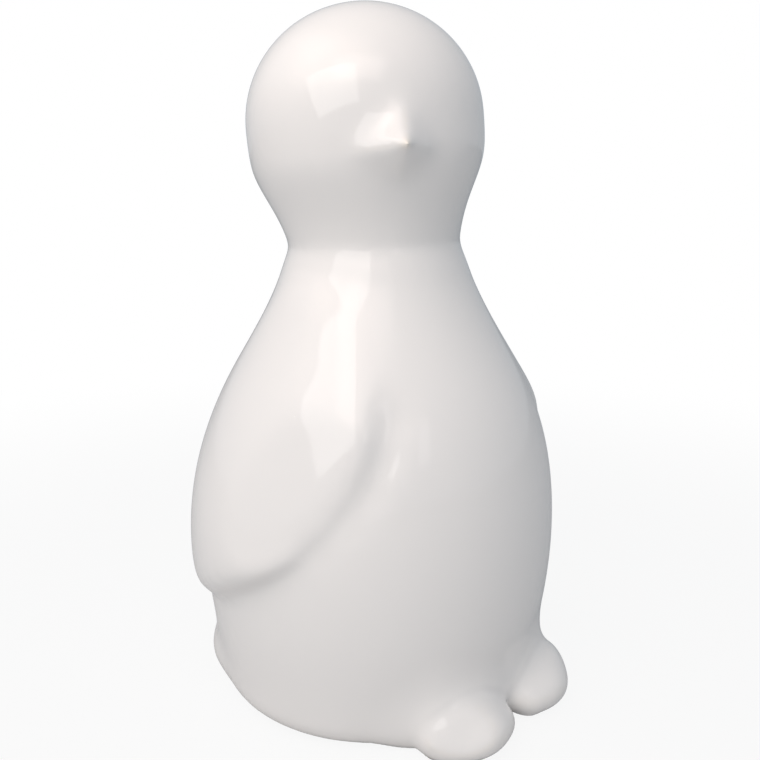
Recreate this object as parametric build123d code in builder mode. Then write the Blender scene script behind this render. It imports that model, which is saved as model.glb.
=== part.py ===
from build123d import *
import os
from math import cos, radians, sin, tan

# A sitting penguin chick in slip-cast, white glazed earthenware.
# Frame: millimetres, +Z up, the breast faces -Y, the figure's own right side is -X.
# The origin is on the floor, under the axis of the body.

# Walls and shared values
wall = 5.0
overrun = 5.0

# Trunk, an egg-shaped casting that stands on its base
belly_radius = 78.2
base_taper = 7.2
base_radius = belly_radius - base_taper
neck_radius = 36.4
neck_height = 199.8
belly_lead = 2.0
base_edge_round = 13.0
foot_ring_width = 8.0
base_recess_depth = 1.5
floor_thickness = 7.0
vent_radius = 5.0

# Head, a ball that narrows to the neck, turned to the figure's right and leaning away
head_radius = 49.6
head_rise = 49.5
head_crown_rise = 47.3
head_turn = 27.5
head_lean_right = 3.35
head_lean_back = 3.7
neck_lean_right = 2.0
neck_lean_back = 2.2

# Beak, a short soft-cornered pyramid
beak_dip = 14.0
beak_reach = 12.5
beak_sink = 13.0
beak_half_width = 34.5
beak_ridge_rise = 28.0
beak_chin_drop = 34.0
beak_corner_drop = 8.0
beak_corner_round = 3.6
beak_tip_radius = 2.0
beak_tip_rise = 2.0
beak_tip_side_shift = 5.8

# Wings, flat pads folded against the sides
wing_thickness = 9.2
wing_front_reach = 51.0
wing_back_reach = 65.0
wing_tip_height = 54.0
wing_top_drop = 11.8
wing_top_height = neck_height - wing_top_drop
wing_edge_round = 9.0
wing_set_forward = 10.0

# Feet, low domes that point forward and a little outward
foot_half_width = 20.6
foot_half_length = 21.0
foot_half_height = 12.8
foot_top_height = 23.8
foot_spread = 21.5
foot_setback = 2.5
foot_toe_out = 10.0

# Tail, a broad low skirt round the back of the base with a blunt tip in its middle
tail_half_width = 66.0
tail_half_length = 60.0
tail_half_height = 22.0
tail_stand_out = 11.0
tail_height = 13.5
tail_tip_half_width = 36.0
tail_tip_half_length = 32.0
tail_tip_half_height = 18.5
tail_tip_stand_out = 15.5

# Stations up the trunk: height, place between the named radii, and forward lead, all as shares
lower_station_shares = [(0.0, 0.0, -0.6), (0.15, 0.45, 0.3), (0.36, 1.0, 1.0)]
upper_station_shares = [(0.61, 0.856, 1.0), (0.76, 0.55, 0.7), (0.88, 0.24, 0.3), (1.0, 0.0, 0.0)]
# How much of the wing's thickness stands out at each of those stations and above them
wing_cover_shares = [0.3, 0.55, 1.0, 0.6, 0.27, 0.25, 0.25, 0.25]
# Slope of the shoulder as it runs on under the neck
collar_slope_share = 0.45

# Head outline between neck and widest point: height and radius as shares
cheek_shares = [(0.27, 0.30), (0.61, 0.86)]
neck_flare_share = 0.2
# How far the handles of a curve reach along their sides when it rounds a quarter of an oval
quarter_round_share = 0.5523

# Wing outline, from the shoulder round by the front edge and the tip:
# forward as a share of the reach on that side, height as a share from tip to top
wing_outline_shares = [
    (0.0, 1.0), (0.56, 0.89), (0.86, 0.70), (0.99, 0.54), (0.90, 0.42), (0.45, 0.20), (-0.12, 0.06),
    (-0.50, 0.0), (-0.83, 0.10), (-0.98, 0.31), (-0.86, 0.58), (-0.46, 0.86),
]

# Beak sections from root to tip: distance out and size, as shares
beak_section_shares = [(0.0, 1.0), (0.5, 0.54), (1.0, 0.06)]


# Height, radius and forward lead of each level section, from the floor to past the neck
def trunk_stations():
    stations = []
    for height_share, radius_share, lead_share in lower_station_shares:
        radius = base_radius + radius_share * (belly_radius - base_radius)
        stations.append((height_share * neck_height, radius, lead_share * belly_lead))
    for height_share, radius_share, lead_share in upper_station_shares:
        radius = neck_radius + radius_share * (belly_radius - neck_radius)
        stations.append((height_share * neck_height, radius, lead_share * belly_lead))
    stations.append((neck_height + overrun, neck_radius - overrun * collar_slope_share, 0))
    return stations


neck_point = Vector(0, 0, neck_height)
neck_normal = Vector(-tan(radians(neck_lean_right)), tan(radians(neck_lean_back)), 1).normalized()
neck_plane = Plane(origin=neck_point, z_dir=neck_normal)

# Trunk without its hollow, which the wings, feet and tail are fitted to
with BuildPart() as trunk_body:
    for height, radius, lead in trunk_stations():
        with BuildSketch(Plane.XY.offset(height)):
            with Locations((0, -lead)):
                Circle(radius)
    loft()
    fillet(trunk_body.faces().sort_by(Axis.Z)[0].edges(), radius=base_edge_round)
    split(bisect_by=neck_plane, keep=Keep.BOTTOM)

# Hollow of the trunk, open at the neck
with BuildPart() as trunk_hollow:
    for height, radius, lead in trunk_stations():
        with BuildSketch(Plane.XY.offset(height)):
            with Locations((0, -lead)):
                Circle(radius - wall)
    loft()
    split(bisect_by=Plane.XY.offset(floor_thickness), keep=Keep.TOP)
    fillet(trunk_hollow.faces().sort_by(Axis.Z)[0].edges(), radius=base_edge_round - wall)

with BuildPart() as trunk:
    add(trunk_body.part)
    add(trunk_hollow.part, mode=Mode.SUBTRACT)
    with BuildSketch(Plane.XY):
        Circle(base_radius - base_edge_round - foot_ring_width)
    extrude(amount=base_recess_depth, mode=Mode.SUBTRACT)
    with BuildSketch(Plane.XY):
        Circle(vent_radius)
    extrude(amount=floor_thickness + overrun, mode=Mode.SUBTRACT)

# Head, a revolved ball round its own leaning axis
head_axis = Vector(-tan(radians(head_lean_right)), tan(radians(head_lean_back)), 1).normalized()
head_facing = Vector(-sin(radians(head_turn)), -cos(radians(head_turn)), 0)
head_left = head_axis.cross(head_facing).normalized()
head_front = head_left.cross(head_axis).normalized()
head_centre = neck_point + head_axis * head_rise
head_profile_plane = Plane(origin=neck_point, x_dir=-head_front, z_dir=head_axis.cross(head_front))


# Closed half section of the head, drawn in from its outside by the inset
def head_outline(inset):
    gain = head_radius - neck_radius
    low = (neck_radius - overrun * neck_flare_share - inset, -overrun)
    neck = (neck_radius - inset, 0)
    cheeks = []
    for height_share, radius_share in cheek_shares:
        cheeks.append((neck_radius + radius_share * gain - inset, height_share * head_rise))
    widest = (head_radius - inset, head_rise)
    crown = (0, head_rise + head_crown_rise - inset)
    temple = (widest[0], head_rise + quarter_round_share * (head_crown_rise - inset))
    brow = (quarter_round_share * widest[0], crown[1])
    Spline(low, neck, *cheeks, widest, tangents=[(neck_flare_share, 1), (0, 1)])
    Bezier(widest, temple, brow, crown)
    Line(crown, (0, -overrun))
    Line((0, -overrun), low)


with BuildPart() as head_ball:
    with BuildSketch(head_profile_plane):
        with BuildLine():
            head_outline(0)
        make_face()
    revolve(axis=Axis(neck_point, head_axis))
    split(bisect_by=neck_plane, keep=Keep.TOP)

with BuildPart() as head_hollow:
    with BuildSketch(head_profile_plane):
        with BuildLine():
            head_outline(wall)
        make_face()
    revolve(axis=Axis(neck_point, head_axis))

with BuildPart() as head:
    add(head_ball.part)
    add(head_hollow.part, mode=Mode.SUBTRACT)

# Beak, from a diamond section sunk in the face to a small round tip, which stands a little above
# the middle of the root and to the figure's right of it
beak_direction = head_front * cos(radians(beak_dip)) - head_axis * sin(radians(beak_dip))
beak_root = head_centre + beak_direction * (head_radius - beak_sink)
beak_plane = Plane(origin=beak_root, x_dir=Vector(0, 0, 1).cross(beak_direction), z_dir=beak_direction)
beak_length = beak_sink + beak_reach - beak_tip_radius

with BuildPart() as beak:
    for out_share, size_share in beak_section_shares:
        with BuildSketch(beak_plane.offset(out_share * beak_length)) as beak_section:
            with Locations((-beak_tip_side_shift * out_share, beak_tip_rise * out_share)):
                Polygon(
                    (0, beak_ridge_rise * size_share),
                    (-beak_half_width * size_share, -beak_corner_drop * size_share),
                    (0, -beak_chin_drop * size_share),
                    (beak_half_width * size_share, -beak_corner_drop * size_share),
                    align=None,
                )
            fillet(beak_section.vertices(), radius=beak_corner_round * size_share)
    loft()
    with Locations(beak_plane.from_local_coords((-beak_tip_side_shift, beak_tip_rise, beak_length))):
        Sphere(beak_tip_radius)
    add(head_ball.part, mode=Mode.SUBTRACT)


# A point of the wing's outline: forward of the body's axis, and height
def outline_point(forward_share, height_share):
    reach = wing_front_reach if forward_share > 0 else wing_back_reach
    height = wing_tip_height + height_share * (wing_top_height - wing_tip_height)
    return (forward_share * reach, height)


# Skin that the wing's outer face follows: the trunk's own sections moved out to the side and a
# little forward, by the whole of the wing's thickness at the belly and by less at the shoulder
wing_side = Vector(-cos(radians(wing_set_forward)), -sin(radians(wing_set_forward)), 0)
with BuildPart() as wing_cover:
    for (height, radius, lead), cover_share in zip(trunk_stations(), wing_cover_shares):
        with BuildSketch(Plane.XY.offset(height)):
            with Locations(wing_side * wing_thickness * cover_share - Vector(0, lead, 0)):
                Circle(radius)
    loft()

with BuildPart() as right_wing:
    with BuildSketch(Plane(origin=(0, 0, 0), x_dir=(0, -1, 0), z_dir=(-1, 0, 0))):
        with BuildLine():
            Spline(*[outline_point(*shares) for shares in wing_outline_shares], periodic=True)
        make_face()
    extrude(amount=belly_radius + wing_thickness + overrun)
    add(wing_cover.part, mode=Mode.INTERSECT)
    fillet(right_wing.faces().sort_by(Axis.X)[0].edges(), radius=wing_edge_round)
    add(trunk_body.part, mode=Mode.SUBTRACT)

with BuildPart() as left_wing:
    mirror(right_wing.part, about=Plane.YZ)

# Feet
foot_dome = scale(Sphere(1), by=(foot_half_width, foot_half_length, foot_half_height))
foot_centre = (foot_spread, foot_setback - base_radius, foot_top_height - foot_half_height)

with BuildPart() as left_foot:
    with Locations(Location(foot_centre, (0, 0, foot_toe_out))):
        add(foot_dome)
    split(bisect_by=Plane.XY, keep=Keep.TOP)
    add(trunk_body.part, mode=Mode.SUBTRACT)

with BuildPart() as right_foot:
    mirror(left_foot.part, about=Plane.YZ)

# Tail
tail_skirt = scale(Sphere(1), by=(tail_half_width, tail_half_length, tail_half_height))
tail_tip = scale(Sphere(1), by=(tail_tip_half_width, tail_tip_half_length, tail_tip_half_height))

with BuildPart() as tail:
    with Locations((0, base_radius + tail_stand_out - tail_half_length, tail_height)):
        add(tail_skirt)
    with Locations((0, base_radius + tail_tip_stand_out - tail_tip_half_length, tail_height)):
        add(tail_tip)
    split(bisect_by=Plane.XY, keep=Keep.TOP)
    add(trunk_body.part, mode=Mode.SUBTRACT)

pieces = {
    "trunk": trunk, "head": head, "beak": beak,
    "right_wing": right_wing, "left_wing": left_wing,
    "right_foot": right_foot, "left_foot": left_foot, "tail": tail,
}

os.makedirs("parts", exist_ok=True)
for name, piece in pieces.items():
    piece.part.label = name
    export_step(piece.part, f"parts/{name}.step")
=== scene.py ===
import bmesh
import bpy
from math import pi, radians, tan
from mathutils import Matrix, Quaternion, Vector
from mathutils.bvhtree import BVHTree


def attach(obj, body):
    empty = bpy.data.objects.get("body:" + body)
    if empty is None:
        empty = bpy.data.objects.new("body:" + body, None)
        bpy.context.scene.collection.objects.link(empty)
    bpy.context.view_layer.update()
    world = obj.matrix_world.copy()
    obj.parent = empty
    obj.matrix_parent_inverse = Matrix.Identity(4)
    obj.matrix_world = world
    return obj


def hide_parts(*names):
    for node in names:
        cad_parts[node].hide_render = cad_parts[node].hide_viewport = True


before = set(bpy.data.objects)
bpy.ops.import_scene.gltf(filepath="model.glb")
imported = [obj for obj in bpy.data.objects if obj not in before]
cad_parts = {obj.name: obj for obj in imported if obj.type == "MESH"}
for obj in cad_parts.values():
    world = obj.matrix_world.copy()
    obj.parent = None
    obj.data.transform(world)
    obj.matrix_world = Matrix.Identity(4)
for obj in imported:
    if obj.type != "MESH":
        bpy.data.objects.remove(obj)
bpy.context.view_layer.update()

mm = 0.001


# A hex colour as it shows on screen, turned to the linear values that the shaders use
def linearColour(hexColour):
    channels = []
    for start in (0, 2, 4):
        share = int(hexColour[start:start + 2], 16) / 255
        channels.append(share / 12.92 if share <= 0.04045 else ((share + 0.055) / 1.055) ** 2.4)
    return (*channels, 1.0)


# Adds a node, sets its properties and sockets, and links sockets given as (node, output)
def addNode(tree, kind, settings=None, **inputs):
    node = tree.nodes.new(kind)
    for name, value in (settings or {}).items():
        setattr(node, name, value)
    for name, value in inputs.items():
        socket = node.inputs[int(name[1:])] if name[0] == "i" and name[1:].isdigit() else node.inputs[name]
        if isinstance(value, tuple) and isinstance(value[0], bpy.types.Node):
            tree.links.new(value[0].outputs[value[1]], socket)
        else:
            socket.default_value = value
    return node


# 0 below the low end, 1 above the high end, and an eased slope between
def eased(value, low, high):
    share = min(max((value - low) / (high - low), 0), 1)
    return share * share * (3 - 2 * share)


# Glazed form: the outside of the fired figure, one unbroken skin over all the formed pieces
glazeForm = {
    "grid": 1.4 * mm,              # size of the faces
    "joinWithin": 0.001 * mm,      # points of the CAD pieces closer than this become one
    "seamWithin": 0.0001 * mm,     # and points of a piece's skin and underside
    "markRounds": 3,               # rounds that even out which piece a face belongs to
    "markAbove": 2.5 * mm,         # from here above the skin down to here below, the pieces are looked for
    "markBelow": 5.5 * mm,
    "softRounds": 14,              # rounds of smoothing, as thick glaze softens every crease
    "softStep": 0.5,               # share of the way that a point goes in one round
    "evenRounds": 6,               # rounds that even out the depth of the glaze
    "meltStride": 4,               # rounds between two looks at what has sunk
    "ventPlugLow": 4 * mm,         # the plug that stops the firing vent while the skin is laid
    "ventPlugHigh": 9 * mm,
    "ventPlugRadius": 8 * mm,
    "ventPlugSides": 32,
    "ventRadius": 5.2 * mm,        # the vent that is cut in the skin, looked for below the next height
    "ventSearchHeight": 12 * mm,
    "underDepth": 0.6 * mm,        # least thickness of a piece over what carries it
    "neckLow": 190 * mm,           # the neck's level rim lies between these heights
    "neckHigh": 208 * mm,
    "neckLevel": 0.98,             # faces that look up or down more than this are level
    "rimHeight": 50 * mm,          # open rims below belong to the vent, those above to the neck
    "floorSnap": 0.35 * mm,        # what hangs lower than this stands on the floor
    "undersideSlope": -0.85,       # faces that look down more than this belong to the underside
}

# Where the glaze melts the form further: rounds of smoothing, the share of sinking that is let through
# (0 only fills creases, 1 rounds ridges off too), and the zone, each as no effect and full effect
melting = {
    "shoulders": {"rounds": 110, "sinking": 1.0, "rising": (132 * mm, 162 * mm),
                  "falling": (193 * mm, 185 * mm)},
    "wingEdges": {"rounds": 24, "sinking": 1.0, "rising": (48 * mm, 60 * mm),
                  "falling": (150 * mm, 120 * mm), "outward": (28 * mm, 36 * mm)},
    "beak": {"rounds": 50, "sinking": 0.3, "centre": (-31 * mm, -41 * mm, 238 * mm),
             "near": (31 * mm, 20 * mm), "kept": (-35.7 * mm, -48.7 * mm, 238 * mm),
             "keptReach": (2 * mm, 8 * mm)},
    "feet": {"rounds": 240, "sinking": 0.1, "centre": (0, -72 * mm, 10 * mm), "near": (74 * mm, 56 * mm)},
    "tail": {"rounds": 160, "sinking": 0.6, "falling": (56 * mm, 40 * mm), "backward": (12 * mm, 30 * mm)},
}

# Flats that soft clay was pressed to: a point and a direction of each plane, and how far the form gives way.
# The feet have sloping tops, and the wings' faces hang straight down below the shoulder.
flats = [
    {"piece": "right_foot", "pressed": 0.95, "slope": (-0.68, -0.36, 0.64),
     "point": (-22 * mm, -85 * mm, 22 * mm)},
    {"piece": "right_foot", "pressed": 0.6, "slope": (0.35, -0.45, 0.82),
     "point": (-22 * mm, -85 * mm, 18.5 * mm)},
    {"piece": "left_foot", "pressed": 0.6, "slope": (-0.35, -0.45, 0.82),
     "point": (22 * mm, -85 * mm, 18.5 * mm)},
    {"piece": "right_wing", "pressed": 0.8, "slope": (-0.9, -0.36, 0.23),
     "point": (-64.4 * mm, -26 * mm, 140 * mm)},
    {"piece": "left_wing", "pressed": 0.8, "slope": (0.9, -0.36, 0.23),
     "point": (64.4 * mm, -26 * mm, 140 * mm)},
]

# Soft swellings that the fingers left, and hollows, whose height is less than 0. Side -1 is only on the
# figure's right, 0 on both sides alike.
swellings = [
    # The base beside the foot, the outer top of the foot and its inner side
    {"centre": (40 * mm, -61 * mm, 5 * mm), "reach": 22 * mm, "height": 3.8 * mm, "side": 0},
    {"centre": (35 * mm, -71 * mm, 23 * mm), "reach": 17 * mm, "height": 4.5 * mm, "side": 0},
    {"centre": (4 * mm, -84 * mm, 8 * mm), "reach": 13 * mm, "height": 2.6 * mm, "side": 0},
    # The base beside the tail
    {"centre": (60 * mm, 50 * mm, 8 * mm), "reach": 26 * mm, "height": 1.8 * mm, "side": 0},
    {"centre": (64 * mm, 29 * mm, 7 * mm), "reach": 15 * mm, "height": 1.4 * mm, "side": 0},
    # The hollow that follows the front edge of the wing
    {"centre": (47 * mm, -51 * mm, 138 * mm), "reach": 13 * mm, "height": -1.6 * mm, "side": -1},
    {"centre": (54 * mm, -52 * mm, 126 * mm), "reach": 13 * mm, "height": -2.2 * mm, "side": -1},
    {"centre": (61 * mm, -50 * mm, 114 * mm), "reach": 13 * mm, "height": -2.2 * mm, "side": -1},
    {"centre": (69 * mm, -45 * mm, 103 * mm), "reach": 13 * mm, "height": -2 * mm, "side": -1},
    {"centre": (76 * mm, -36 * mm, 92 * mm), "reach": 13 * mm, "height": -1.6 * mm, "side": -1},
]

# What carries each piece: the trunk and the head stand for themselves
hosts = {
    "trunk": "trunk", "head": "head", "beak": "head", "right_wing": "trunk", "left_wing": "trunk",
    "right_foot": "trunk", "left_foot": "trunk", "tail": "trunk",
}
pieceNames = sorted(hosts)
ventLabel = len(pieceNames)


# The CAD pieces' triangles in one bmesh, with their shared points merged
def mergedCopy(nodeNames):
    copy = bmesh.new()
    for nodeName in nodeNames:
        copy.from_mesh(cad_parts[nodeName].data)
    bmesh.ops.remove_doubles(copy, verts=copy.verts, dist=glazeForm["joinWithin"])
    return copy


# A bmesh after the modifiers that setUp adds
def afterModifiers(form, setUp):
    mesh = bpy.data.meshes.new("working")
    form.to_mesh(mesh)
    form.free()
    working = bpy.data.objects.new("working", mesh)
    bpy.context.collection.objects.link(working)
    setUp(working.modifiers)
    evaluated = working.evaluated_get(bpy.context.evaluated_depsgraph_get())
    result = bpy.data.meshes.new_from_object(evaluated)
    finished = bmesh.new()
    finished.from_mesh(result)
    bpy.data.objects.remove(working)
    bpy.data.meshes.remove(mesh)
    bpy.data.meshes.remove(result)
    return finished


def evenGrid(modifiers):
    remesh = modifiers.new("evenGrid", "REMESH")
    remesh.mode = "VOXEL"
    remesh.voxel_size = glazeForm["grid"]


# All pieces under one skin, with the firing vent stopped so that the skin stays outside
def wrappedFigure():
    union = mergedCopy(pieceNames)
    low, high, radius = glazeForm["ventPlugLow"], glazeForm["ventPlugHigh"], glazeForm["ventPlugRadius"]
    bmesh.ops.create_cone(
        union, cap_ends=True, segments=glazeForm["ventPlugSides"], depth=high - low,
        radius1=radius, radius2=radius, matrix=Matrix.Translation((0, 0, (high + low) / 2)),
    )
    return afterModifiers(union, evenGrid)


# Marks each face of the skin with the piece that lies right under it
def markPieces(skin):
    pieces = bmesh.new()
    for index, name in enumerate(pieceNames):
        before = len(pieces.faces)
        pieces.from_mesh(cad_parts[name].data)
        pieces.faces.ensure_lookup_table()
        for face in pieces.faces[before:]:
            face.material_index = index
    tree = BVHTree.FromBMesh(pieces)
    trunkIndex = pieceNames.index("trunk")
    for face in skin.faces:
        centre = face.calc_center_median()
        above = centre + face.normal * glazeForm["markAbove"]
        hit = tree.ray_cast(above, -face.normal, glazeForm["markAbove"] + glazeForm["markBelow"])[2]
        face.material_index = trunkIndex if hit is None else pieces.faces[hit].material_index
        if centre.xy.length < glazeForm["ventRadius"] and centre.z < glazeForm["ventSearchHeight"]:
            face.material_index = ventLabel
    pieces.free()


# Faces that hang together, the largest group first
def connectedGroups(faces):
    left = set(faces)
    groups = []
    while left:
        group, edge = set(), [left.pop()]
        while edge:
            face = edge.pop()
            group.add(face)
            for side in face.edges:
                for other in side.link_faces:
                    if other in left:
                        left.remove(other)
                        edge.append(other)
        groups.append(group)
    return sorted(groups, key=len, reverse=True)


# Evens out the marks: stray specks go to the piece round them
def tidyMarks(skin):
    for _ in range(glazeForm["markRounds"]):
        newLabels = {}
        for face in skin.faces:
            around = [other.material_index for corner in face.verts for other in corner.link_faces]
            common = max(set(around), key=around.count)
            if common != face.material_index:
                newLabels[face] = common
        for face, label in newLabels.items():
            face.material_index = label
    for label in range(ventLabel):
        for speck in connectedGroups(face for face in skin.faces if face.material_index == label)[1:]:
            rim = [other.material_index for face in speck for side in face.edges for other in side.link_faces
                   if other not in speck]
            for face in speck:
                face.material_index = max(set(rim), key=rim.count)


# Each point on a line between two marks, with its neighbours on that line
def seamNeighbours(skin):
    neighbours = {}
    for edge in skin.edges:
        if edge.link_faces[0].material_index != edge.link_faces[-1].material_index:
            first, second = edge.verts
            neighbours.setdefault(first, []).append(second)
            neighbours.setdefault(second, []).append(first)
    return neighbours


# One round of smoothing over some points
def smoothRound(skin, points):
    bmesh.ops.smooth_vert(skin, verts=points, factor=glazeForm["softStep"],
                          use_axis_x=True, use_axis_y=True, use_axis_z=True)


# Softens the whole skin as melted glaze does, and draws the seams between the pieces straight meanwhile
def softenSkin(skin):
    neighbours = seamNeighbours(skin)
    for _ in range(glazeForm["softRounds"]):
        smoothRound(skin, skin.verts)
        places = {}
        for point, others in neighbours.items():
            middle = sum((other.co for other in others), Vector()) / len(others)
            places[point] = point.co.lerp(middle, glazeForm["softStep"])
        for point, place in places.items():
            point.co = place


# Presses the pieces to their flats, before the glaze softens the edges between them
def pressFlats(skin):
    for flat in flats:
        label = pieceNames.index(flat["piece"])
        slope = Vector(flat["slope"]).normalized()
        for point in {point for face in skin.faces if face.material_index == label for point in face.verts}:
            over = (point.co - Vector(flat["point"])).dot(slope)
            if over > 0:
                point.co -= slope * over * flat["pressed"]


# Raises the swellings and sinks the hollows, each along the directions of the skin
def raiseSwellings(skin):
    skin.normal_update()
    for swelling in swellings:
        centre = Vector(swelling["centre"])
        rises = {}
        for point in skin.verts:
            distance = (Vector((abs(point.co.x), point.co.y, point.co.z)) - centre).length
            if (distance < swelling["reach"] and point.co.x * swelling["side"] >= 0
                    and point.normal.z > glazeForm["undersideSlope"]):
                rises[point] = 1 - eased(distance, 0, swelling["reach"])
        for point, share in rises.items():
            point.co += point.normal * share * swelling["height"]


# How much of a zone's melting a place gets, 0 to 1
def zoneShare(zone, place):
    share = 1
    if "rising" in zone:
        share *= eased(place.z, *zone["rising"])
    if "falling" in zone:
        share *= 1 - eased(place.z, *reversed(zone["falling"]))
    if "outward" in zone:
        share *= eased(abs(place.x), *zone["outward"])
    if "backward" in zone:
        share *= eased(place.y, *zone["backward"])
    if "centre" in zone:
        share *= 1 - eased((place - Vector(zone["centre"])).length, *reversed(zone["near"]))
    if "kept" in zone:
        share *= eased((place - Vector(zone["kept"])).length, *zone["keptReach"])
    return share


# Melts the form in one zone, and where sinking isn't let through, only fills its creases. The underside
# stays as it is.
def melt(skin, zone):
    shares = {}
    for point in skin.verts:
        share = zoneShare(zone, point.co)
        if share > 0 and point.normal.z > glazeForm["undersideSlope"]:
            shares[point] = share
    stride = glazeForm["meltStride"]
    for turn in range(0, zone["rounds"], stride):
        moving = [point for point, share in shares.items() if share > turn / zone["rounds"]]
        before = [point.co.copy() for point in moving]
        for _ in range(stride):
            smoothRound(skin, moving)
        if zone["sinking"] < 1:
            skin.normal_update()
            for point, place in zip(moving, before):
                rise = (point.co - place).dot(point.normal)
                if rise < 0:
                    point.co -= point.normal * rise * (1 - zone["sinking"])


# Draws the edge of the firing vent to a circle
def roundVent(skin):
    for edge in skin.edges:
        if {face.material_index == ventLabel for face in edge.link_faces} == {True, False}:
            for point in edge.verts:
                point.co.xy = point.co.xy.normalized() * glazeForm["ventRadius"]


skin = wrappedFigure()
print("skin over all pieces:", len(skin.faces), "faces")
markPieces(skin)
tidyMarks(skin)
pressFlats(skin)
placesBefore = [point.co.copy() for point in skin.verts]
softenSkin(skin)
skin.normal_update()
gathered = skin.verts.layers.float.new("gatheredGlaze")     # millimetres that the glaze stands over the clay
for point, place in zip(skin.verts, placesBefore):
    point[gathered] = (point.co - place).dot(point.normal) / mm
for _ in range(glazeForm["evenRounds"]):
    evened = [sum(edge.other_vert(point)[gathered] for edge in point.link_edges) / len(point.link_edges)
              for point in skin.verts]
    for point, value in zip(skin.verts, evened):
        point[gathered] = (point[gathered] + value) / 2
raiseSwellings(skin)
for zone in melting.values():
    melt(skin, zone)
roundVent(skin)
for point in skin.verts:
    if point.co.z < glazeForm["floorSnap"]:
        point.co.z = 0
skin.normal_update()
labels = [face.material_index for face in skin.faces]
print("skin softened; faces of each piece:",
      {name: labels.count(index) for index, name in enumerate(pieceNames)})


# Where each point of the carried pieces would lie on what carries them
def pointsUnder(skin):
    trees = {name: BVHTree.FromBMesh(mergedCopy([name])) for name in set(hosts.values())}
    under = {}
    for point in skin.verts:
        labels = {face.material_index for face in point.link_faces}
        label = labels.pop()
        if labels or label == ventLabel:
            continue
        name = pieceNames[label]
        if hosts[name] == name:
            continue
        place = trees[hosts[name]].find_nearest(point.co)[0]
        if (point.co - place).dot(point.normal) < glazeForm["underDepth"]:
            place = point.co - point.normal * glazeForm["underDepth"]
        under[point.index] = place
    return under


# A copy of the skin with only the faces of some labels
def skinPatch(skin, labels):
    patch = skin.copy()
    unwanted = [face for face in patch.faces if face.material_index not in labels]
    bmesh.ops.delete(patch, geom=unwanted, context="FACES")
    return patch


# Lays faces of the skin down on what carries them. Next to a seam some have no inner point of their
# own, so these get one in their middle, and none is left lying in the skin.
def sinkFaces(form, faces):
    number = form.verts.layers.int["number"]
    direction = form.verts.layers.float_vector["direction"]
    tight = [face for face in faces if sum(point[number] not in under for point in face.verts) >= 3]
    for point in {point for face in faces for point in face.verts if point[number] in under}:
        point.co = under[point[number]]
        point[direction] = (0, 0, 0)
    for point in bmesh.ops.poke(form, faces=tight)["verts"]:
        outward = sum((Vector(edge.other_vert(point)[direction]) for edge in point.link_edges), Vector())
        point.co -= outward.normalized() * glazeForm["underDepth"] / 2
        point[direction] = (0, 0, 0)


# A carried piece: its own patch of the skin, closed underneath by the same patch laid on its carrier
def carriedPiece(skin, name):
    patch = skinPatch(skin, [pieceNames.index(name)])
    copied = bmesh.ops.duplicate(patch, geom=patch.verts[:] + patch.edges[:] + patch.faces[:])["geom"]
    underside = [item for item in copied if isinstance(item, bmesh.types.BMFace)]
    bmesh.ops.reverse_faces(patch, faces=underside)
    sinkFaces(patch, underside)
    bmesh.ops.remove_doubles(patch, verts=patch.verts, dist=glazeForm["seamWithin"])
    return patch


# Boundary edges that hang together, as separate loops
def openLoops(form):
    left = {edge for edge in form.edges if len(edge.link_faces) == 1}
    loops = []
    while left:
        loop, ends = [], [left.pop()]
        while ends:
            edge = ends.pop()
            loop.append(edge)
            for corner in edge.verts:
                for other in corner.link_edges:
                    if other in left:
                        left.remove(other)
                        ends.append(other)
        loops.append(loop)
    return loops


# The walls of the hollow inside a CAD piece: without its level neck rim and the sides of its vent, the
# piece falls apart into its outside and its hollow, which reaches less far out
def addHollow(form, name):
    hollow = mergedCopy([name])
    joining = []
    for face in hollow.faces:
        centre = face.calc_center_median()
        level = abs(face.normal.z) > glazeForm["neckLevel"]
        atNeck = level and glazeForm["neckLow"] < centre.z < glazeForm["neckHigh"]
        atVent = centre.xy.length < glazeForm["ventRadius"] and centre.z < glazeForm["ventSearchHeight"]
        if atNeck or atVent:
            joining.append(face)
    bmesh.ops.delete(hollow, geom=joining, context="FACES")
    walls = min(connectedGroups(hollow.faces)[:2],
                key=lambda group: max(face.calc_center_median().xy.length for face in group))
    bmesh.ops.delete(hollow, geom=[face for face in hollow.faces if face not in walls], context="FACES")
    mesh = bpy.data.meshes.new("working")
    hollow.to_mesh(mesh)
    hollow.free()
    form.from_mesh(mesh)
    bpy.data.meshes.remove(mesh)


# A carrying piece: its own patch, the faces that the carried pieces cover, and the walls of its hollow
def carryingPiece(skin, name):
    form = skinPatch(skin, [index for index, other in enumerate(pieceNames) if hosts[other] == name])
    carriedOnes = [index for index, other in enumerate(pieceNames) if hosts[other] == name and other != name]
    sinkFaces(form, [face for face in form.faces if face.material_index in carriedOnes])
    outerCount = len(form.faces)
    addHollow(form, name)
    loops = openLoops(form)
    print(name, "skin faces", outerCount, "with hollow", len(form.faces),
          "open loops", [len(loop) for loop in loops])
    byHeight = {}
    for loop in loops:
        height = sum(edge.verts[0].co.z for edge in loop) / len(loop)
        byHeight.setdefault(height < glazeForm["rimHeight"], []).append(loop)
    for pair in byHeight.values():
        bmesh.ops.bridge_loops(form, edges=pair[0] + pair[1])
    return form


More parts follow.
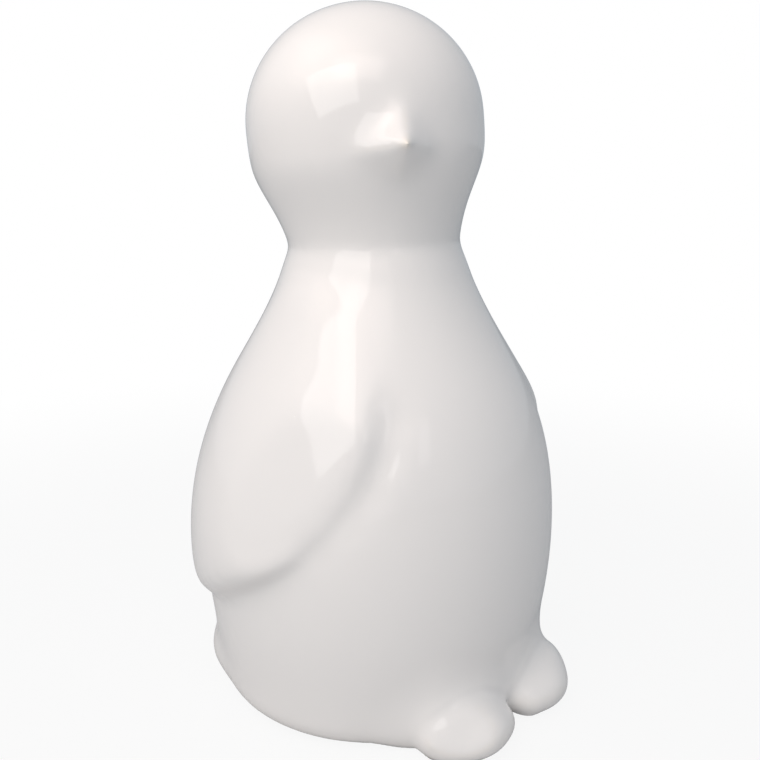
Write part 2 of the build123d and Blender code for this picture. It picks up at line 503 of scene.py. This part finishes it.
# The finished object, shaded with the whole skin's directions so that no seam shows. Points under it and
# in its hollow have none, and take the form's own.
def finishedPiece(form, pieceName, nodeName):
    for face in form.faces:
        face.material_index = 0
        face.smooth = True
    form.normal_update()
    direction = form.verts.layers.float_vector["direction"]
    directions = [Vector(point[direction]) if Vector(point[direction]).length > 0.5 else point.normal.copy()
                  for point in form.verts]
    mesh = bpy.data.meshes.new(pieceName)
    form.to_mesh(mesh)
    form.free()
    mesh.normals_split_custom_set_from_vertices(directions)
    piece = bpy.data.objects.new(pieceName, mesh)
    bpy.context.collection.objects.link(piece)
    mesh.materials.append(glazedEarthenware)
    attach(piece, "root")
    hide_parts(nodeName)
    return piece


# Glazed earthenware: a pale slip-cast clay under thick clear-white glaze, fired until it ran smooth. It gives
# sharp, slightly wavy reflections over a soft white, with painted shade that turns it greyer in the creases
# where the glaze gathered, creamier where it ran thin over ridges, and a dry, matt foot ring that was wiped
# clean before firing.
glaze = {
    "colour": "f4f1ee",
    # painted shade: the greyer colour laid into the creases
    "creaseShadeColour": "e4e1df",
    "thinColour": "f6eee2",
    "clayColour": "e6dccb",
    "roughness": 0.05,
    "clayRoughness": 0.8,
    "ior": 1.52,
    "creaseShadeFrom": 0.15,          # millimetres of glaze over the clay where the painted crease shade begins
    "creaseShadeTo": 1.3,
    "thinFrom": -0.25,
    "thinTo": -1.3,
    "wavePitch": 24 * mm,          # slow waves that the glaze sets in
    "waveHeight": 0.05 * mm,
    "ripplePitch": 5 * mm,
    "rippleHeight": 0.004 * mm,
    "waveDetail": 1.0,
    "waveRoughness": 0.4,
    "sheenSwing": 0.2,             # share by which the roughness follows the waves
    "sheenFrom": 0.3,              # and the two heights of the waves between which it does
    "sheenTo": 0.7,
    "pinholePitch": 14 * mm,       # tiny burst bubbles
    "pinholeRadius": 0.35 * mm,
    "pinholeDepth": 0.08 * mm,
    "wipedHeight": 0.7 * mm,       # bare clay up to here, give or take the next value
    "wipedWander": 0.35 * mm,
    "grogPitch": 0.9 * mm,         # grains in the bare clay
    "grogHeight": 0.03 * mm,
    "grogDetail": 3.0,
}


def makeGlazedEarthenware():
    material = bpy.data.materials.new("glazedEarthenware")
    material.use_nodes = True
    tree = material.node_tree
    tree.nodes.clear()
    place = addNode(tree, "ShaderNodeTexCoord")
    waves = addNode(tree, "ShaderNodeTexNoise", {"noise_dimensions": "3D"}, Vector=(place, "Object"),
                    Scale=1 / glaze["wavePitch"], Detail=glaze["waveDetail"],
                    Roughness=glaze["waveRoughness"])
    ripples = addNode(tree, "ShaderNodeTexNoise", {"noise_dimensions": "3D"}, Vector=(place, "Object"),
                      Scale=1 / glaze["ripplePitch"], Detail=glaze["waveDetail"],
                      Roughness=glaze["waveRoughness"])
    holes = addNode(tree, "ShaderNodeTexVoronoi", {"feature": "F1"}, Vector=(place, "Object"),
                    Scale=1 / glaze["pinholePitch"], Randomness=1.0)
    holeEdge = glaze["pinholeRadius"] / glaze["pinholePitch"]
    holeDepth = addNode(tree, "ShaderNodeMapRange", {"interpolation_type": "SMOOTHSTEP"},
                        i0=(holes, "Distance"), i1=0.0, i2=holeEdge, i3=0.0, i4=1.0)
    grog = addNode(tree, "ShaderNodeTexNoise", {"noise_dimensions": "3D"}, Vector=(place, "Object"),
                   Scale=1 / glaze["grogPitch"], Detail=glaze["grogDetail"])

    # Painted shade in the creases: the colour turns greyer where the softened glaze stands thick over the
    # clay. Over ridges, where it runs thin, it turns creamier.
    depth = addNode(tree, "ShaderNodeAttribute",
                    {"attribute_name": "gatheredGlaze", "attribute_type": "GEOMETRY"})
    gathered = addNode(tree, "ShaderNodeMapRange", {"interpolation_type": "SMOOTHSTEP"}, i0=(depth, "Fac"),
                       i1=glaze["creaseShadeFrom"], i2=glaze["creaseShadeTo"], i3=0.0, i4=1.0)
    thin = addNode(tree, "ShaderNodeMapRange", {"interpolation_type": "SMOOTHSTEP"}, i0=(depth, "Fac"),
                   i1=glaze["thinTo"], i2=glaze["thinFrom"], i3=1.0, i4=0.0)
    withCreaseShade = addNode(tree, "ShaderNodeMix", {"data_type": "RGBA"}, i0=(gathered, 0),
                          i6=linearColour(glaze["colour"]), i7=linearColour(glaze["creaseShadeColour"]))
    overRidges = addNode(tree, "ShaderNodeMix", {"data_type": "RGBA"}, i0=(thin, 0),
                         i6=(withCreaseShade, 2), i7=linearColour(glaze["thinColour"]))

    # Height over the shelf, wandering a little, tells where the glaze was wiped off
    heights = addNode(tree, "ShaderNodeSeparateXYZ", None, i0=(place, "Object"))
    wander = addNode(tree, "ShaderNodeMath", {"operation": "MULTIPLY_ADD"}, i0=(ripples, 0),
                     i1=2 * glaze["wipedWander"], i2=(heights, 2))
    wiped = addNode(tree, "ShaderNodeMapRange", {"interpolation_type": "SMOOTHSTEP"}, i0=(wander, 0),
                    i1=glaze["wipedHeight"], i2=glaze["wipedHeight"] + glaze["wipedWander"], i3=1.0, i4=0.0)
    colour = addNode(tree, "ShaderNodeMix", {"data_type": "RGBA"}, i0=(wiped, 0),
                     i6=(overRidges, 2), i7=linearColour(glaze["clayColour"]))
    sheen = addNode(tree, "ShaderNodeMapRange", None, i0=(waves, 0),
                    i1=glaze["sheenFrom"], i2=glaze["sheenTo"],
                    i3=glaze["roughness"] * (1 - glaze["sheenSwing"]),
                    i4=glaze["roughness"] * (1 + glaze["sheenSwing"]))
    roughness = addNode(tree, "ShaderNodeMix", {"data_type": "FLOAT"}, i0=(wiped, 0),
                        i2=(sheen, 0), i3=glaze["clayRoughness"])

    waveBump = addNode(tree, "ShaderNodeBump", None, Height=(waves, 0), Distance=glaze["waveHeight"],
                       Strength=1.0)
    rippleBump = addNode(tree, "ShaderNodeBump", None, Height=(ripples, 0), Distance=glaze["rippleHeight"],
                         Strength=1.0, Normal=(waveBump, 0))
    holeBump = addNode(tree, "ShaderNodeBump", None, Height=(holeDepth, 0), Distance=glaze["pinholeDepth"],
                       Strength=1.0, Normal=(rippleBump, 0))
    grogBump = addNode(tree, "ShaderNodeBump", None, Height=(grog, 0), Distance=glaze["grogHeight"],
                       Strength=(wiped, 0), Normal=(holeBump, 0))
    shader = addNode(tree, "ShaderNodeBsdfPrincipled", None, **{
        "Base Color": (colour, 2), "Roughness": (roughness, 0), "IOR": glaze["ior"], "Normal": (grogBump, 0),
    })
    addNode(tree, "ShaderNodeOutputMaterial", None, Surface=(shader, 0))
    return material


glazedEarthenware = makeGlazedEarthenware()
print("material:", glazedEarthenware.name)

# Each point's own number and direction, which its copies in the pieces keep
number = skin.verts.layers.int.new("number")
direction = skin.verts.layers.float_vector.new("direction")
skin.verts.index_update()
for point in skin.verts:
    point[number] = point.index
    point[direction] = point.normal
under = pointsUnder(skin)
for name in pieceNames:
    if hosts[name] == name:
        form = carryingPiece(skin, name)
    else:
        form = carriedPiece(skin, name)
    pieceName = "glazed" + "".join(word.capitalize() for word in name.split("_"))
    piece = finishedPiece(form, pieceName, name)
    print(pieceName, len(piece.data.polygons), "faces")
skin.free()


# Studio: a pale floor, soft lamps and a plain world
studio = {
    "floorSize": 60.0,
    "floorColour": "d2d2d2",
    "shadowReach": 0.2,            # metres from the figure within which the floor shows the shadow fully
    "whiteFrom": 0.7,              # metres from where the floor looks quite white
    "glowByFigure": 0.9,           # share of plain white that the camera sees in the floor there
    "worldLight": 0.5,
    "worldColour": "edf6ff",
    "aimHeight": 150 * mm,         # the lamps face the figure's middle, at this height
}

floorForm = bmesh.new()
bmesh.ops.create_grid(floorForm, x_segments=1, y_segments=1, size=studio["floorSize"] / 2)
floorMesh = bpy.data.meshes.new("floor")
floorForm.to_mesh(floorMesh)
floor = bpy.data.objects.new("floor", floorMesh)
bpy.context.collection.objects.link(floor)

# Painted floor: matt pale paint, which shows the figure's soft shadow and lightens to white further away
floorMaterial = bpy.data.materials.new("paintedFloor")
floorMaterial.use_nodes = True
floorTree = floorMaterial.node_tree
floorTree.nodes.clear()
floorShader = addNode(floorTree, "ShaderNodeBsdfDiffuse")
floorShader.inputs["Color"].default_value = linearColour(studio["floorColour"])
floorGlow = addNode(floorTree, "ShaderNodeEmission")
floorGlow.inputs["Strength"].default_value = 1.0
rays = addNode(floorTree, "ShaderNodeLightPath")
floorPlace = addNode(floorTree, "ShaderNodeTexCoord")
fromFigure = addNode(floorTree, "ShaderNodeVectorMath", {"operation": "LENGTH"}, i0=(floorPlace, "Object"))
glowShare = addNode(
    floorTree, "ShaderNodeMapRange", {"interpolation_type": "SMOOTHSTEP"}, i0=(fromFigure, "Value"),
    i1=studio["shadowReach"], i2=studio["whiteFrom"], i3=studio["glowByFigure"], i4=1.0,
)
seenGlow = addNode(
    floorTree, "ShaderNodeMath", {"operation": "MULTIPLY"}, i0=(rays, "Is Camera Ray"), i1=(glowShare, 0)
)
floorMix = addNode(
    floorTree, "ShaderNodeMixShader", None, i0=(seenGlow, 0), i1=(floorShader, 0), i2=(floorGlow, 0)
)
addNode(floorTree, "ShaderNodeOutputMaterial", None, Surface=(floorMix, 0))
floorMesh.materials.append(floorMaterial)

# World: cool plain light on the figure, and plain white where the camera looks past it
world = bpy.data.worlds.new("studioWorld")
bpy.context.scene.world = world
world.use_nodes = True
worldTree = world.node_tree
worldTree.nodes.clear()
plainLight = addNode(worldTree, "ShaderNodeBackground")
plainLight.inputs["Color"].default_value = linearColour(studio["worldColour"])
plainLight.inputs["Strength"].default_value = studio["worldLight"]
whiteBack = addNode(worldTree, "ShaderNodeBackground")
whiteBack.inputs["Color"].default_value = (1, 1, 1, 1)
whiteBack.inputs["Strength"].default_value = 1.0
worldRays = addNode(worldTree, "ShaderNodeLightPath")
worldMix = addNode(
    worldTree, "ShaderNodeMixShader", None,
    i0=(worldRays, "Is Camera Ray"), i1=(plainLight, 0), i2=(whiteBack, 0),
)
addNode(worldTree, "ShaderNodeOutputWorld", None, Surface=(worldMix, 0))

# Camera: stands before the figure's right front, a little above its middle, and looks down slightly
view = {
    "position": (-275.6 * mm, -254.4 * mm, 222.3 * mm),
    "lookDown": 12.49,
    "turn": -47.6,
    "lens": 40.77,
    "sensor": 36.0,
    "nearest": 0.01,
}
cameraData = bpy.data.cameras.new("camera")
cameraData.lens = view["lens"]
cameraData.sensor_width = view["sensor"]
cameraData.clip_start = view["nearest"]
camera = bpy.data.objects.new("camera", cameraData)
camera.location = view["position"]
camera.rotation_euler = (radians(90 - view["lookDown"]), 0, radians(view["turn"]))
bpy.context.collection.objects.link(camera)
bpy.context.scene.camera = camera


# Soft lamps, as seen from the figure: azimuth 0 is before the breast and positive is towards the
# figure's own left, angles in degrees, strength as the light each square metre gives off
lamps = {
    "keySoftbox": {"azimuth": -78, "elevation": 32, "roll": 22, "width": 42, "height": 40, "strength": 1.65,
                   "distance": 1.4, "softEdge": 0.06, "colour": "fffdfa"},
    "highDiffuser": {"azimuth": -90, "elevation": 58, "roll": 0, "width": 80, "height": 60, "strength": 1.25,
                     "distance": 0.6, "softEdge": 0.8, "colour": "ffe7d8"},
    "sideDiffuser": {"azimuth": -135, "elevation": 48, "roll": 0, "width": 80, "height": 50, "strength": 0.3,
                     "distance": 0.7, "softEdge": 0.7, "colour": "ffffff"},
    "frontReflector": {"azimuth": -54, "elevation": 51, "roll": 0, "width": 50, "height": 32, "strength": 1.2,
                       "distance": 1.8, "softEdge": 0.5, "colour": "fff0ea"},
    "breastReflector": {"azimuth": -18, "elevation": 23, "roll": 0, "width": 13, "height": 22, "strength": 0.8,
                        "distance": 1.8, "softEdge": 0.4, "colour": "fff8f8"},
}


# Light that falls off towards the edges of a lamp's cloth
def softenLamp(lampData, softEdge):
    lampData.use_nodes = True
    tree = lampData.node_tree
    tree.nodes.clear()
    spot = addNode(tree, "ShaderNodeNewGeometry")
    fromMiddle = addNode(
        tree, "ShaderNodeVectorMath", {"operation": "SUBTRACT"}, i0=(spot, "Parametric"), i1=(0.5, 0.5, 0)
    )
    reach = addNode(tree, "ShaderNodeVectorMath", {"operation": "ABSOLUTE"}, i0=(fromMiddle, 0))
    sides = addNode(tree, "ShaderNodeSeparateXYZ", None, i0=(reach, 0))
    across, upward = [
        addNode(tree, "ShaderNodeMapRange", {"interpolation_type": "SMOOTHSTEP"}, i0=(sides, side),
                i1=0.5 - softEdge / 2, i2=0.5, i3=1.0, i4=0.0)
        for side in ("X", "Y")
    ]
    share = addNode(tree, "ShaderNodeMath", {"operation": "MULTIPLY"}, i0=(across, 0), i1=(upward, 0))
    cloth = addNode(tree, "ShaderNodeEmission", None, Strength=(share, 0))
    addNode(tree, "ShaderNodeOutputLight", None, Surface=(cloth, 0))


# A rectangle of light that faces the middle of the figure
def addLamp(name, lamp):
    lampData = bpy.data.lights.new(name, "AREA")
    lampData.shape = "RECTANGLE"
    lampData.size = 2 * lamp["distance"] * tan(radians(lamp["width"] / 2))
    lampData.size_y = 2 * lamp["distance"] * tan(radians(lamp["height"] / 2))
    lampData.energy = lamp["strength"] * pi * lampData.size * lampData.size_y
    lampData.color = linearColour(lamp["colour"])[:3]
    softenLamp(lampData, lamp["softEdge"])
    around = Matrix.Rotation(radians(lamp["azimuth"]), 3, "Z")
    direction = around @ Matrix.Rotation(radians(-lamp["elevation"]), 3, "X") @ Vector((0, -1, 0))
    lampObject = bpy.data.objects.new(name, lampData)
    lampObject.location = Vector((0, 0, studio["aimHeight"])) + direction * lamp["distance"]
    faceFigure = (-direction).to_track_quat("-Z", "Y") @ Quaternion((0, 0, 1), radians(lamp["roll"]))
    lampObject.rotation_euler = faceFigure.to_euler()
    bpy.context.collection.objects.link(lampObject)


for lampName, lamp in lamps.items():
    addLamp(lampName, lamp)
print("studio: floor, world, camera and", len(lamps), "lamps")

bpy.context.scene.view_settings.view_transform = "Standard"
